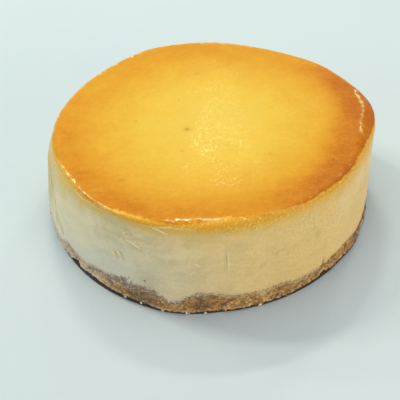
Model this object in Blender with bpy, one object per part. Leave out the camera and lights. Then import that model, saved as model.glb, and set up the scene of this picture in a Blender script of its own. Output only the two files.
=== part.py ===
"""A whole baked cheesecake: a set cheese filling with a browned top, on a pressed crumb base.

Metres, +Z up. The cake stands on z = 0 and the origin is under the middle of its bounding box.
Its front faces -Y. Azimuths are in degrees, from +X towards +Y, so the front is at 270.
"""

import math

import bmesh
import bpy
from mathutils import Vector, noise

# Driving dimensions
FOOT_RADIUS = 0.0995  # the wall carried down to the table
RIM_RADIUS = 0.0937  # the wall where the browned skin ends
CAKE_HEIGHT = 0.0602  # the top at the middle of the cake
BASE_HEIGHT = 0.0112  # how thick the crumb base is
SKIN_DROP = 0.0038  # from the edge of the top down to the end of the browned skin
SKIN_INSET = 0.0030  # from the wall in to the edge of the top
SHOULDER_POWER = 2.0  # of the superellipse between them: 2 is round, 1 is a straight slope
BELLY = 0.0005  # how far the wall swells between the foot and the rim
DISH = 0.0007  # how far the middle of the top has sunk
TOP_SLOPE = (0.014, -0.015)  # rise of the top along X and along Y
TOUCHING_GAP = 0.0003  # clearance between the filling and the base

# How far the rim is out of round: (lobes, height, azimuth of a crest)
RIM_LOBES = (
    (2, 0.0032, 28),
    (3, 0.0023, 6),
    (4, 0.0012, 14),
    (5, 0.0008, 23),
)
FOOT_SHARE = 0.55  # how much of that shows at the foot
LEAN = (0.0013, 25)  # how far the rim is shifted off the foot, and towards which azimuth

# Local departures from those values: (azimuth, half width in degrees, size)
RIM_SWELLS = (
    (9, 20, 0.0014),
    (30, 18, -0.0012),
    (98, 16, -0.0010),
    (118, 16, 0.0008),
    (186, 26, 0.0011),
    (350, 25, -0.0012),
)
FOOT_SWELLS = (
    (258, 18, 0.0014),
    (352, 24, -0.0010),
    (334, 12, 0.0010),
)
BELLIES = ((190, 45, 0.0024),)
SKIN_DROPS = (
    (5, 50, 0.0024),
    (235, 40, -0.0016),
)
SKIN_INSETS = (
    (4, 46, 0.0060),
    (270, 30, 0.0016),
    (235, 32, -0.0018),
)
SHOULDER_POWERS = ((5, 50, -0.45),)
BASE_SWELLS = (
    (206, 12, -0.0030),
    (258, 7, -0.0045),
    (268, 16, 0.0035),
    (305, 14, -0.0025),
)
BASE_GROOVES = (
    (313, 4, 0.0020),
    (219, 4, 0.0012),
)

# The lower edge of the base is a little above the table, with an undercut below it
EDGE_LIFT = 0.0012
EDGE_RAGGEDNESS = 0.0006
EDGE_LIFTS = (
    (230, 30, 0.0024),
    (316, 26, 0.0014),
)
UNDERCUT = 0.0022
UNDERCUTS = (
    (232, 36, 0.0032),
    (316, 30, 0.0012),
)
CRUMBLE = 0.0011  # depth of the bites and lumps in the base's face
CRUMBLE_SIZE = 0.0070
JOINT_RIPPLE = 0.0011  # unevenness of the line between the filling and the base
JOINT_RIPPLE_SIZE = 0.0140

# Mesh fineness
SEGMENTS = 120
TOP_RINGS = (0.30, 0.58, 0.80, 0.94)
SHOULDER_STEPS = 4
WALL_RINGS = 5
BASE_FACE_RINGS = 3
JOINT_RINGS = (0.93, 0.50)
SHARP_ANGLE = 32

CREAM = (0.78, 0.66, 0.42)
BROWNED = (0.83, 0.48, 0.06)
BISCUIT = (0.36, 0.22, 0.11)


def hump(azimuth, centre, half_width):
    """1 at the centre azimuth, down to 0 at half_width degrees on either side."""
    away = abs((azimuth - centre + 180) % 360 - 180)
    if away >= half_width:
        return 0.0
    return 0.5 + 0.5 * math.cos(math.pi * away / half_width)


def humps(azimuth, places):
    return sum(size * hump(azimuth, centre, half_width) for centre, half_width, size in places)


def lobes(azimuth, table):
    return sum(
        height * math.cos(math.radians(count * (azimuth - crest)))
        for count, height, crest in table
    )


def point_at(azimuth, radius, height):
    angle = math.radians(azimuth)
    return Vector((radius * math.cos(angle), radius * math.sin(angle), height))


def lumps(azimuth, height, size):
    """Smooth noise from -1 to 1 over the cake's side, with lumps of about the given size."""
    return noise.noise(point_at(azimuth, FOOT_RADIUS, height) / size)


def edge_radius(azimuth):
    """Radius of the edge where the top turns down into the shoulder."""
    return rim_radius(azimuth) - SKIN_INSET - humps(azimuth, SKIN_INSETS)


def rim_radius(azimuth):
    lean = LEAN[0] * math.cos(math.radians(azimuth - LEAN[1]))
    return RIM_RADIUS + lean + lobes(azimuth, RIM_LOBES) + humps(azimuth, RIM_SWELLS)


def foot_radius(azimuth):
    return FOOT_RADIUS + FOOT_SHARE * lobes(azimuth, RIM_LOBES) + humps(azimuth, FOOT_SWELLS)


def top_height(azimuth, radius):
    x, y, _ = point_at(azimuth, radius, 0)
    share = min(radius / edge_radius(azimuth), 1)
    return CAKE_HEIGHT + TOP_SLOPE[0] * x + TOP_SLOPE[1] * y - DISH * (1 - share**2)


def rim_height(azimuth):
    drop = SKIN_DROP + humps(azimuth, SKIN_DROPS)
    return top_height(azimuth, edge_radius(azimuth)) - drop


def wall_radius(azimuth, height):
    """The cake leans and tapers from its foot to its rim, with a slight belly."""
    share = height / rim_height(azimuth)
    foot = foot_radius(azimuth)
    belly = BELLY + humps(azimuth, BELLIES)
    return foot + (rim_radius(azimuth) - foot) * share + belly * (1 - (2 * share - 1) ** 4)


def joint_height(azimuth):
    """Height on the wall of the line between the base and the filling."""
    ripple = JOINT_RIPPLE * lumps(azimuth, BASE_HEIGHT, JOINT_RIPPLE_SIZE)
    return BASE_HEIGHT + humps(azimuth, BASE_SWELLS) + ripple


def joint(azimuth):
    """Where the base meets the filling, from the wall in to near the middle."""
    height = joint_height(azimuth)
    radius = wall_radius(azimuth, height)
    inside = [(radius * share, BASE_HEIGHT) for share in JOINT_RINGS]
    return [(radius, height)] + inside


def filling_profile(azimuth):
    """Half section of the filling at one azimuth, from under its middle round to its top."""
    underside = [(radius, height + TOUCHING_GAP) for radius, height in joint(azimuth)]
    low = underside[0][1]
    high = rim_height(azimuth)
    heights = [low + (high - low) * step / WALL_RINGS for step in range(1, WALL_RINGS + 1)]
    wall = [(wall_radius(azimuth, height), height) for height in heights]
    return underside[::-1] + wall + shoulder(azimuth) + top(azimuth)


def shoulder(azimuth):
    """Turn from the rim in to the edge of the top, a quarter of a superellipse."""
    outer, inner = rim_radius(azimuth), edge_radius(azimuth)
    low = rim_height(azimuth)
    high = top_height(azimuth, inner)
    exponent = 2 / (SHOULDER_POWER + humps(azimuth, SHOULDER_POWERS))
    points = []
    for step in range(1, SHOULDER_STEPS + 1):
        turn = math.radians(90 * step / SHOULDER_STEPS)
        radius = inner + (outer - inner) * abs(math.cos(turn)) ** exponent
        points.append((radius, low + (high - low) * math.sin(turn) ** exponent))
    return points


def top(azimuth):
    radii = [edge_radius(azimuth) * share for share in reversed(TOP_RINGS)]
    return [(radius, top_height(azimuth, radius)) for radius in radii]


def base_profile(azimuth):
    """Half section of the crumb base at one azimuth, from its foot round to its top."""
    low = EDGE_LIFT + humps(azimuth, EDGE_LIFTS)
    low += EDGE_RAGGEDNESS * lumps(azimuth, 0, CRUMBLE_SIZE)
    foot = foot_radius(azimuth) - UNDERCUT - humps(azimuth, UNDERCUTS)
    high = joint_height(azimuth)
    face = []
    for step in range(BASE_FACE_RINGS):
        height = low + (high - low) * step / BASE_FACE_RINGS
        radius = wall_radius(azimuth, height) - humps(azimuth, BASE_GROOVES)
        face.append((radius + CRUMBLE * lumps(azimuth, height, CRUMBLE_SIZE), height))
    return [(foot, 0.0)] + face + joint(azimuth)


def turned_solid(name, profile, materials, pick_material=lambda point: 0):
    """A closed solid through the half sections at every azimuth, made round the Z axis."""
    body = bmesh.new()
    columns = []
    for step in range(SEGMENTS):
        azimuth = 360 * step / SEGMENTS
        columns.append([body.verts.new(point_at(azimuth, *place)) for place in profile(azimuth)])
    for step, column in enumerate(columns):
        following = columns[(step + 1) % SEGMENTS]
        for low in range(len(column) - 1):
            high = low + 1
            body.faces.new((column[low], following[low], following[high], column[high]))
    for end in (0, -1):
        close_end(body, [column[end] for column in columns])
    # The shorter diagonal is the same one on both sides of the joint, so the gap stays even.
    bmesh.ops.triangulate(body, faces=body.faces, quad_method="SHORT_EDGE")
    bmesh.ops.recalc_face_normals(body, faces=body.faces)
    mesh = bpy.data.meshes.new(name)
    for material in materials:
        mesh.materials.append(material)
    for face in body.faces:
        face.material_index = pick_material(face.calc_center_median())
    body.to_mesh(mesh)
    body.free()
    mesh.shade_smooth()
    mesh.set_sharp_from_angle(angle=math.radians(SHARP_ANGLE))
    solid = bpy.data.objects.new(name, mesh)
    bpy.context.scene.collection.objects.link(solid)
    return solid


def close_end(body, ring):
    """A fan of triangles to the middle of a ring."""
    height = sum(vertex.co.z for vertex in ring) / len(ring)
    middle = body.verts.new((0, 0, height))
    for step, vertex in enumerate(ring):
        body.faces.new((vertex, ring[(step + 1) % len(ring)], middle))


def make_material(name, colour, roughness):
    material = bpy.data.materials.new(name)
    material.use_nodes = True
    shader = material.node_tree.nodes["Principled BSDF"]
    shader.inputs["Base Color"].default_value = (*colour, 1)
    shader.inputs["Roughness"].default_value = roughness
    shader.inputs["Metallic"].default_value = 0
    return material


def is_browned(point):
    azimuth = math.degrees(math.atan2(point.y, point.x))
    return int(point.z > rim_height(azimuth))


def make_filling():
    materials = (
        make_material("baked_cheese", CREAM, 0.45),
        make_material("browned_top", BROWNED, 0.30),
    )
    return turned_solid("cheese_filling", filling_profile, materials, is_browned)


def make_base():
    materials = (make_material("biscuit_crumb", BISCUIT, 0.85),)
    return turned_solid("crumb_base", base_profile, materials)


def centre(pieces):
    """Moves the pieces together so that their bounding box is centred on the Z axis."""
    points = [vertex.co for piece in pieces for vertex in piece.data.vertices]
    shift = Vector((0, 0, 0))
    for axis in (0, 1):
        along = [point[axis] for point in points]
        shift[axis] = -(min(along) + max(along)) / 2
    for piece in pieces:
        for vertex in piece.data.vertices:
            vertex.co += shift


def main():
    for leftover in list(bpy.data.objects):
        bpy.data.objects.remove(leftover)
    centre([make_base(), make_filling()])


if __name__ == "__main__":
    main()
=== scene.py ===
"""The looks of a whole baked cheesecake: a glossy browned top, smeared cream sides and a crumbly
biscuit base, standing in a small pale studio.

Metres, +Z up. The cake's front faces -Y. Azimuths are in degrees, from +X towards +Y, so the front
is at 270. Each operator in the sidebar makes one piece, or one group of like pieces.
"""

import math

import bmesh
import bpy
import numpy as np
from bpy.props import FloatProperty, FloatVectorProperty, IntProperty, PointerProperty
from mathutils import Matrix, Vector, noise


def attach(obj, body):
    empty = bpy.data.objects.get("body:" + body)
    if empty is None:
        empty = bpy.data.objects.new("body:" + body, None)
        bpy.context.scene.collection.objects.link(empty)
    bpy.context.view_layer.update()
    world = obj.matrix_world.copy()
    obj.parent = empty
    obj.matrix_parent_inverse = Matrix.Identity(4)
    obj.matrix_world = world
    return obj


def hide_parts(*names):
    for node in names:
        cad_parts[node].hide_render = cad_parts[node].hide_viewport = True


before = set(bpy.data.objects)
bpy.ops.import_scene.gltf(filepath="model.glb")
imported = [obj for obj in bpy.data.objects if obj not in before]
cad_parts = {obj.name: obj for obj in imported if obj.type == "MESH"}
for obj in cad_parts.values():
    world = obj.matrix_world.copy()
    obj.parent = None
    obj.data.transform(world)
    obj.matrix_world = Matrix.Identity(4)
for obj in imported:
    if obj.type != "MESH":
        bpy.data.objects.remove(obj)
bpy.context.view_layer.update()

bl_info = {
    "name": "Baked Cheesecake",
    "version": (1, 0, 0),
    "blender": (4, 5, 0),
    "location": "3D View > Sidebar > Cheesecake",
    "description": "Makes the surfaces, crumbs and glaze of a baked cheesecake, and its studio",
    "category": "Object",
}

MM = 0.001

# ---------------------------------------------------------------------------
# The cake's form, as its solids have it
# ---------------------------------------------------------------------------

AXIS = (-0.00046, 0.00049)  # where the middle of the foot stands, so that the whole is centred
FOOT_RADIUS = 0.0995
RIM_RADIUS = 0.0937
CAKE_HEIGHT = 0.0602
BASE_HEIGHT = 0.0112
SKIN_DROP = 0.0038
SKIN_INSET = 0.0030
SHOULDER_POWER = 2.0
BELLY = 0.0005
DISH = 0.0007
TOP_SLOPE = (0.014, -0.015)
RIM_LOBES = (
    (2, 0.0032, 28),
    (3, 0.0023, 6),
    (4, 0.0012, 14),
    (5, 0.0008, 23),
)
FOOT_SHARE = 0.55
LEAN = (0.0013, 25)

# Local departures: (azimuth, half width in degrees, size)
RIM_SWELLS = (
    (9, 20, 0.0014),
    (30, 18, -0.0012),
    (98, 16, -0.0010),
    (118, 16, 0.0008),
    (186, 26, 0.0011),
    (350, 25, -0.0012),
)
FOOT_SWELLS = (
    (258, 18, 0.0014),
    (352, 24, -0.0010),
    (334, 12, 0.0010),
)
BELLIES = ((190, 45, 0.0024),)
SKIN_DROPS = (
    (5, 50, 0.0024),
    (235, 40, -0.0016),
)
SKIN_INSETS = (
    (4, 46, 0.0060),
    (270, 30, 0.0016),
    (235, 32, -0.0018),
)
SHOULDER_POWERS = ((5, 50, -0.45),)
BASE_SWELLS = (
    (206, 12, -0.0030),
    (258, 7, -0.0045),
    (268, 16, 0.0035),
    (305, 14, -0.0025),
)
BASE_GROOVES = (
    (313, 4, 0.0020),
    (219, 4, 0.0012),
)
EDGE_LIFT = 0.0012
EDGE_RAGGEDNESS = 0.0006
EDGE_LIFTS = (
    (230, 30, 0.0024),
    (316, 26, 0.0014),
)
CRUMBLE = 0.0011
CRUMBLE_SIZE = 0.0070
JOINT_RIPPLE = 0.0011
JOINT_RIPPLE_SIZE = 0.0140

# Browning of the top's rim beyond the even part: (azimuth, half width, amount)
RIM_BROWNING = (
    (345, 70, 0.27),
    (305, 50, 0.16),
    (250, 50, 0.205),
    (200, 55, 0.145),
    (100, 70, 0.09),
    (25, 45, 0.20),
)
# How far up from the skin's lower edge it is amber with glaze: (azimuth, half width, distance)
AMBER_POOLS = (
    (244, 20, 0.0054),
    (273, 18, 0.0080),
    (290, 18, 0.0034),
    (312, 22, 0.0028),
    (342, 30, 0.0034),
    (210, 30, 0.0036),
    (150, 60, 0.0024),
    (20, 40, 0.0010),
)
# How far the skin's lower edge departs from the rim, up or down: (azimuth, half width, rise)
EDGE_CLIMBS = (
    (259, 9, 0.0013),
    (275, 12, -0.0004),
    (297, 10, 0.0008),
    (224, 16, -0.0006),
)
# The pale hem of the skin: (azimuth, half width, amount)
HEMS = ((256, 13, 1.0), (224, 20, 0.7), (140, 60, 0.5))
# Where the amber has run down over the cream in a ragged fringe: (azimuth, half width, amount)
RUNS = (
    (266, 14, 0.35),
    (292, 24, 1.0),
    (326, 34, 0.8),
    (20, 60, 0.5),
    (120, 70, 0.6),
)
# Fat that has soaked into the side below the skin: (azimuth, half width, depth)
STAIN_DEPTHS = (
    (205, 40, 0.0060),
    (262, 30, 0.0045),
    (288, 22, 0.0030),
    (350, 30, 0.0040),
    (320, 40, 0.0060),
)
# Where warm light is painted into the cream, making it yellower: (azimuth, half width, amount)
PAINTED_WARM_LIGHT_SIDES = ((320, 95, 1.0),)
# Where the base is darker, and where it is greyer: (azimuth, half width, amount)
DARK_CRUMB = (
    (247, 13, 0.85),
    (218, 16, 0.7),
    (294, 14, -0.9),
    (266, 13, 0.6),
    (345, 24, 1.7),
    (40, 60, 0.4),
)
# How much higher the lower edge looks where it overhangs: (azimuth, half width, rise)
LIP_LIFTS = (
    (208, 18, 0.0012),
    (224, 14, 0.0008),
    (242, 12, 0.0005),
    (262, 20, 0.0006),
    (286, 22, 0.0007),
    (338, 26, 0.0013),
)
GREY_CRUMB = (
    (216, 32, 1.4),
    (250, 12, 0.2),
    (308, 16, 0.12),
    (345, 16, 0.1),
    (150, 60, 0.6),
)
# Where the crumb frays up into the cream: (azimuth, half width, spread above the joint)
FRAYED = (
    (241, 9, 0.0062),
    (250, 8, 0.0050),
    (231, 8, 0.0022),
    (215, 8, 0.0028),
    (202, 6, 0.0012),
    (258, 6, 0.0016),
    (266, 8, 0.0014),
    (300, 20, 0.0010),
    (20, 60, 0.0010),
    (130, 60, 0.0010),
)
# Flakes that hang from the lower edge: (azimuth, size)
FLAKES = (
    (241.5, 0.0011),
    (247.0, 0.0013),
    (254.5, 0.0010),
    (262.2, 0.0014),
    (263.0, 0.0009),
    (268.2, 0.0012),
    (286.5, 0.0013),
)
# Pits in the top: (azimuth, distance from the axis, radius)
PITS = (
    (209, 0.0159, 0.0024),
    (209, 0.0159, 0.0008),
    (99, 0.0537, 0.0012),
    (240, 0.0328, 0.0011),
    (228, 0.0736, 0.0015),
    (179, 0.0448, 0.0010),
    (316, 0.0468, 0.0010),
    (262, 0.0210, 0.0008),
    (20, 0.0400, 0.0007),
    (130, 0.0300, 0.0007),
)
# Creases in the skin near its edge: how high, in metres, and then (azimuth, distance from the
# skin's lower edge inwards)
CREASES = (
    (0.00020, (202, 0.0029), (209, 0.0032), (215, 0.0039), (220, 0.0029), (226, 0.0021), (242, 0.0022)),
    (0.00022, (253, 0.0056), (258, 0.0069), (263, 0.0071), (270, 0.0066), (277, 0.0056)),
    (0.00010, (284, 0.0044), (300, 0.0032), (315, 0.0046), (336, 0.0040)),
    (0.00030, (348, 0.0040), (352, 0.0090), (359, 0.0113), (364, 0.0115), (368, 0.0105),
     (376, 0.0099), (382, 0.0058), (400, 0.0040)),
    (0.00016, (60, 0.0040), (80, 0.0052), (104, 0.0044), (130, 0.0050), (160, 0.0046), (190, 0.0036)),
)
WET_HEIGHT = 0.00020  # how high a crease is that is wet all over
# Yellower spots on the side: (azimuth, height, radius, amount)
SPOTS = (
    (309.8, 0.0348, 0.0034, 0.8),
    (320.0, 0.0530, 0.0040, 0.5),
    # These two darken the far left of the side: painted shade, with yellower cream.
    (193.0, 0.0420, 0.0100, 1.0),
    (196.0, 0.0300, 0.0070, 0.6),
    (212.0, 0.0460, 0.0060, 0.5),
    (223.0, 0.0490, 0.0060, 0.5),
    (233.0, 0.0530, 0.0050, 0.5),
    (60.0, 0.0400, 0.0060, 0.4),
    (130.0, 0.0350, 0.0070, 0.4),
)
# Lighter and darker places on the side: (azimuth, height, radius, amount)
PALE_PLACES = (
    (222, 0.0400, 0.017, 1.1),
    (206, 0.0280, 0.010, 0.9),
    (326, 0.0440, 0.014, 0.5),
    (338, 0.0500, 0.010, 0.8),
    (352, 0.0400, 0.010, 0.6),
    (90, 0.0350, 0.016, 0.4),
)
SHADY_PLACES = (
    (250, 0.0210, 0.012, 0.6),
    (191, 0.0380, 0.020, 1.3),
    (276, 0.0300, 0.010, 0.3),
    (140, 0.0300, 0.016, 0.4),
)
# Where the cream's surface is grainy: (azimuth, half width, amount)
GRAINY_SIDES = (
    (312, 34, 1.0),
    (60, 80, 0.5),
)
# Ridges that the spatula left on the side: (start, end, half width, height), with azimuth and
# height for a place
RIDGES = (
    ((236.8, 0.0330), (238.0, 0.0308), 0.0006, 0.00045),
    ((238.6, 0.0352), (240.0, 0.0322), 0.0006, 0.00045),
    ((242.1, 0.0456), (247.2, 0.0421), 0.0007, 0.00035),
    ((241.0, 0.0492), (241.5, 0.0490), 0.0006, 0.0004),
    ((275.5, 0.0442), (275.4, 0.0298), 0.0007, 0.0004),
    ((282.5, 0.0248), (286.0, 0.0258), 0.0005, 0.00025),
    ((286.0, 0.0258), (287.8, 0.0320), 0.0005, 0.00025),
    ((288.2, 0.0402), (290.0, 0.0405), 0.0005, 0.0003),
    ((290.0, 0.0405), (292.0, 0.0350), 0.0005, 0.00025),
    ((292.0, 0.0350), (294.8, 0.0356), 0.0005, 0.00025),
    ((250.6, 0.0580), (256.4, 0.0548), 0.0005, 0.0003),
    ((261.6, 0.0335), (263.4, 0.0352), 0.0006, 0.0004),
    ((264.2, 0.0372), (266.4, 0.0340), 0.0006, 0.0004),
    ((262.6, 0.0300), (264.8, 0.0312), 0.0005, 0.0003),
    ((196.0, 0.0438), (201.8, 0.0328), 0.0008, 0.0003),
    ((201.8, 0.0328), (206.0, 0.0170), 0.0008, 0.0003),
    ((206.5, 0.0250), (211.0, 0.0150), 0.0007, 0.0003),
    ((284.5, 0.0552), (285.4, 0.0550), 0.0006, 0.0004),
    ((286.0, 0.0558), (286.5, 0.0556), 0.0005, 0.0004),
)
# Small ticks of cream on the side: (azimuth, half width, height, spread in height, how many)
TICKS = (
    (288, 14, 0.0505, 0.0050, 30),
    (264, 3, 0.0330, 0.0030, 10),
    (264, 6, 0.0160, 0.0012, 14),
    (216, 20, 0.0380, 0.0100, 14),
    (330, 16, 0.0420, 0.0100, 12),
    (90, 70, 0.0400, 0.0120, 24),
)
# Furrows in the side, given in the same way as the ridges
FURROWS = (
    ((274.5, 0.0440), (274.4, 0.0300), 0.0008, -0.0003),
    ((312.8, 0.0132), (312.2, 0.0080), 0.0009, -0.0014),
    ((237.6, 0.0335), (239.0, 0.0305), 0.0010, -0.0005),
    ((239.8, 0.0345), (241.0, 0.0310), 0.0010, -0.0005),
    ((244.6, 0.0415), (247.5, 0.0400), 0.0010, -0.0004),
    ((262.4, 0.0405), (262.0, 0.0370), 0.0009, -0.0004),
    ((290.6, 0.0385), (292.4, 0.0335), 0.0009, -0.0003),
    ((286.8, 0.0275), (288.8, 0.0320), 0.0009, -0.0003),
    ((203.5, 0.0330), (207.5, 0.0180), 0.0012, -0.0004),
)
# Beads of glaze along the skin's lower edge: (azimuth, half width, how many)
BEADS = (
    (286, 15, 110),
    (268, 14, 60),
    (306, 16, 60),
    (330, 16, 50),
    (222, 20, 26),
    (140, 60, 40),
    (20, 50, 20),
)
# Larger lumps of glaze there: (azimuth, rise above the rim, size)
GLAZE_LUMPS = (
    (281.0, 0.0030, 0.0010),
    (286.5, 0.0022, 0.0009),
    (284.6, -0.0010, 0.0009),
    (289.0, 0.0004, 0.0008),
    (278.0, -0.0004, 0.0008),
)

# Mesh fineness
COLUMNS = 768
BASE_COLUMNS = 1280
WALL_SPACING = 1.4 * MM
EDGE_SPACING = 0.34 * MM
SHOULDER_STEPS = 28
TOP_SPACING = 1.0 * MM
CREASE_SPACING = 0.35 * MM  # of the top's outermost rings
FACE_SPACING = 0.38 * MM
GAP_DEPTH = 0.5 * MM  # how far the shallow recess runs in below the base's lower edge; its face is painted near black as shadow
SKIRT = 3.0 * MM  # how far the filling's skin runs down inside the crumb base
COLLAR = 1.6 * MM  # how far the base's face runs up behind the filling


def step(value, low, high):
    """0 up to low and 1 from high on, with a smooth rise between."""
    share = np.clip((value - low) / (high - low), 0, 1)
    return share * share * (3 - 2 * share)


def hump(azimuth, centre, half_width):
    """1 at the centre azimuth, down to 0 at half_width degrees on either side."""
    away = np.minimum(np.abs((azimuth - centre + 180) % 360 - 180), half_width)
    return 0.5 + 0.5 * np.cos(np.pi * away / half_width)


def humps(azimuth, places):
    return sum(size * hump(azimuth, centre, half_width) for centre, half_width, size in places)


def lobes(azimuth, table):
    return sum(
        height * np.cos(np.radians(count * (azimuth - crest)))
        for count, height, crest in table
    )


def points_at(azimuth, radius, height):
    """Places on the cake, as an array with X, Y and Z last."""
    angle = np.radians(azimuth)
    across = np.broadcast_arrays(radius * np.cos(angle), radius * np.sin(angle), height)
    return np.stack(across, axis=-1)


def field(points, size, octaves=1, seed=0):
    """Smooth noise from about -1 to 1, with lumps of about the given size, or sizes along X, Y, Z."""
    places = (points / np.array(size) + seed).reshape(-1, 3).tolist()
    values = [noise.fractal(place, 1.0, 2.0, octaves) for place in places]
    return np.array(values).reshape(points.shape[:-1])


def grains(points, size, seed=0):
    """Rounded grains: how proud each place stands, from -1 in a crease to 1, and a random number
    from -1 to 1 for the grain that it lies on."""
    places = (points / size + seed).reshape(-1, 3).tolist()
    proud = []
    kind = []
    for place in places:
        distances, middles = noise.voronoi(place)
        proud.append(1 - 2.4 * distances[0])
        kind.append(noise.noise(middles[0] * 3.7 + Vector((0.3, 0.6, 0.2))) * 2)
    shape = points.shape[:-1]
    return np.array(proud).reshape(shape), np.array(kind).reshape(shape)


def lumps(azimuth, height, size):
    points = points_at(azimuth, FOOT_RADIUS, height)
    places = (points / size).reshape(-1, 3).tolist()
    return np.array([noise.noise(place) for place in places]).reshape(points.shape[:-1])


def rim_radius(azimuth):
    lean = LEAN[0] * np.cos(np.radians(azimuth - LEAN[1]))
    return RIM_RADIUS + lean + lobes(azimuth, RIM_LOBES) + humps(azimuth, RIM_SWELLS)


def edge_radius(azimuth):
    """Radius of the edge where the top turns down into the shoulder."""
    return rim_radius(azimuth) - SKIN_INSET - humps(azimuth, SKIN_INSETS)


def foot_radius(azimuth):
    return FOOT_RADIUS + FOOT_SHARE * lobes(azimuth, RIM_LOBES) + humps(azimuth, FOOT_SWELLS)


def top_height(azimuth, radius):
    angle = np.radians(azimuth)
    slope = TOP_SLOPE[0] * np.cos(angle) + TOP_SLOPE[1] * np.sin(angle)
    share = np.minimum(radius / edge_radius(azimuth), 1)
    return CAKE_HEIGHT + slope * radius - DISH * (1 - share**2)


def rim_height(azimuth):
    drop = SKIN_DROP + humps(azimuth, SKIN_DROPS)
    return top_height(azimuth, edge_radius(azimuth)) - drop


def wall_radius(azimuth, height):
    share = height / rim_height(azimuth)
    foot = foot_radius(azimuth)
    belly = BELLY + humps(azimuth, BELLIES)
    return foot + (rim_radius(azimuth) - foot) * share + belly * (1 - (2 * share - 1) ** 4)


def joint_height(azimuth):
    """Height on the wall of the line between the base and the filling."""
    ripple = JOINT_RIPPLE * lumps(azimuth, BASE_HEIGHT, JOINT_RIPPLE_SIZE)
    return BASE_HEIGHT + humps(azimuth, BASE_SWELLS) + ripple


def lip_height(azimuth):
    """Height of the base's ragged lower edge."""
    ragged = EDGE_RAGGEDNESS * lumps(azimuth, 0, CRUMBLE_SIZE)
    return EDGE_LIFT + humps(azimuth, EDGE_LIFTS) + ragged


# ---------------------------------------------------------------------------
# Meshes
# ---------------------------------------------------------------------------


def spread(start, end, spacing):
    """Shares from just after 0 to 1, about the given spacing apart along start to end."""
    count = max(1, int(round(abs(end - start) / spacing)))
    return np.arange(1, count + 1) / count


def ring_faces(lower, upper):
    """Faces between two rings of vertex numbers. The upper ring may have half as many."""
    count = len(lower)
    if len(upper) == count:
        following = range(-count + 1, 1)
        return [(lower[i], lower[n], upper[n], upper[i]) for i, n in enumerate(following)]
    faces = []
    for place in range(len(upper)):
        first, middle, last = (lower[(2 * place + offset) % count] for offset in range(3))
        left, right = upper[place], upper[(place + 1) % len(upper)]
        faces += [(first, middle, left), (middle, right, left), (middle, last, right)]
    return faces


def closed_rings(name, points, strides, attributes):
    """A closed mesh through rings of points, from the middle of its underside round to its top.
    points is rings x columns x 3, and ring r uses every strides[r]th column."""
    rings = []
    chosen = []
    total = 0
    for ring, stride in zip(points, strides):
        kept = ring[::stride]
        rings.append(list(range(total, total + len(kept))))
        chosen.append(kept)
        total += len(kept)
    middles = [chosen[0].mean(axis=0), chosen[-1].mean(axis=0)]
    faces = []
    for lower, upper in zip(rings, rings[1:]):
        if len(lower) >= len(upper):
            faces += ring_faces(lower, upper)
        else:
            faces += [face[::-1] for face in ring_faces(upper, lower)]
    for centre, ring, outward in ((total, rings[0], -1), (total + 1, rings[-1], 1)):
        pairs = zip(ring, ring[1:] + ring[:1])
        faces += [(centre, first, second)[::outward] for first, second in pairs]
    mesh = bpy.data.meshes.new(name)
    mesh.from_pydata(np.concatenate(chosen + [np.array(middles)]).tolist(), [], faces)
    for label, values in attributes.items():
        kept = [row[::stride] for row, stride in zip(values, strides)]
        kept.append(np.array([values[0].mean(), values[-1].mean()]))
        add_attribute(mesh, label, np.concatenate(kept))
    mesh.shade_smooth()
    return mesh


def add_attribute(mesh, label, values):
    attribute = mesh.attributes.new(label, "FLOAT", "POINT")
    attribute.data.foreach_set("value", np.asarray(values, dtype=np.float32))


def outward(points):
    """Unit normals of a grid of points: rings from below to above, columns counterclockwise."""
    along = np.gradient(points, axis=0)
    round_ = np.roll(points, -1, axis=1) - np.roll(points, 1, axis=1)
    normals = np.cross(round_, along)
    return normals / np.maximum(np.linalg.norm(normals, axis=-1, keepdims=True), 1e-12)


def place_piece(name, mesh, material, slot, *nodes):
    """Puts a mesh on the cake's axis, as a piece that rides with the cake."""
    mesh.transform(((1, 0, 0, AXIS[0]), (0, 1, 0, AXIS[1]), (0, 0, 1, 0), (0, 0, 0, 1)))
    mesh.materials.append(material)
    piece = bpy.data.objects.new(name, mesh)
    bpy.context.scene.collection.objects.link(piece)
    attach(piece, "root")
    if nodes:
        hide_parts(*nodes)
    return piece


# ---------------------------------------------------------------------------
# The filling with its browned skin
# ---------------------------------------------------------------------------


def shoulder(azimuth, turn):
    """Shares of the way out to the rim and up to the edge of the top."""
    exponent = 2 / (SHOULDER_POWER + humps(azimuth, SHOULDER_POWERS))
    angle = math.radians(turn)
    return abs(math.cos(angle)) ** exponent, math.sin(angle) ** exponent


def filling_rings(azimuth):
    """Radius and height of every ring, each ring's stride, and which ring ends the wall."""
    joint, rim = joint_height(azimuth), rim_height(azimuth)
    radii, heights, strides = [], [], []

    def add(radius, height, stride=1):
        radii.append(np.broadcast_to(radius, azimuth.shape))
        heights.append(np.broadcast_to(height, azimuth.shape))
        strides.append(stride)

    foot = joint - SKIRT
    inside = wall_radius(azimuth, foot) - SKIRT
    for share, stride in ((0.10, 8), (0.35, 4), (0.75, 2)):
        add(inside * share, BASE_HEIGHT, stride)
    for share in (0, 0.4, 0.8):
        height = foot + SKIRT * share
        add(wall_radius(azimuth, height) - 0.7 * SKIRT * (1 - share), height)
    wall_top = rim - 7 * EDGE_SPACING
    add(wall_radius(azimuth, joint), joint)
    for share in spread(BASE_HEIGHT, CAKE_HEIGHT - 7 * EDGE_SPACING, WALL_SPACING):
        height = joint + (wall_top - joint) * share
        add(wall_radius(azimuth, height), height)
    for count in range(6, -1, -1):
        height = rim - count * EDGE_SPACING
        add(wall_radius(azimuth, height), height)
    wall_end = len(radii) - 1

    outer, inner = rim_radius(azimuth), edge_radius(azimuth)
    edge = top_height(azimuth, inner)
    for share in spread(0, 1, 1 / SHOULDER_STEPS):
        across, up = shoulder(azimuth, 90 * share)
        add(inner + (outer - inner) * across, rim + (edge - rim) * up)
    for stride, shares in top_shares():
        for share in shares:
            radius = inner * share
            add(radius, top_height(azimuth, radius), stride)
    return np.array(radii), np.array(heights), strides, wall_end


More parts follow.
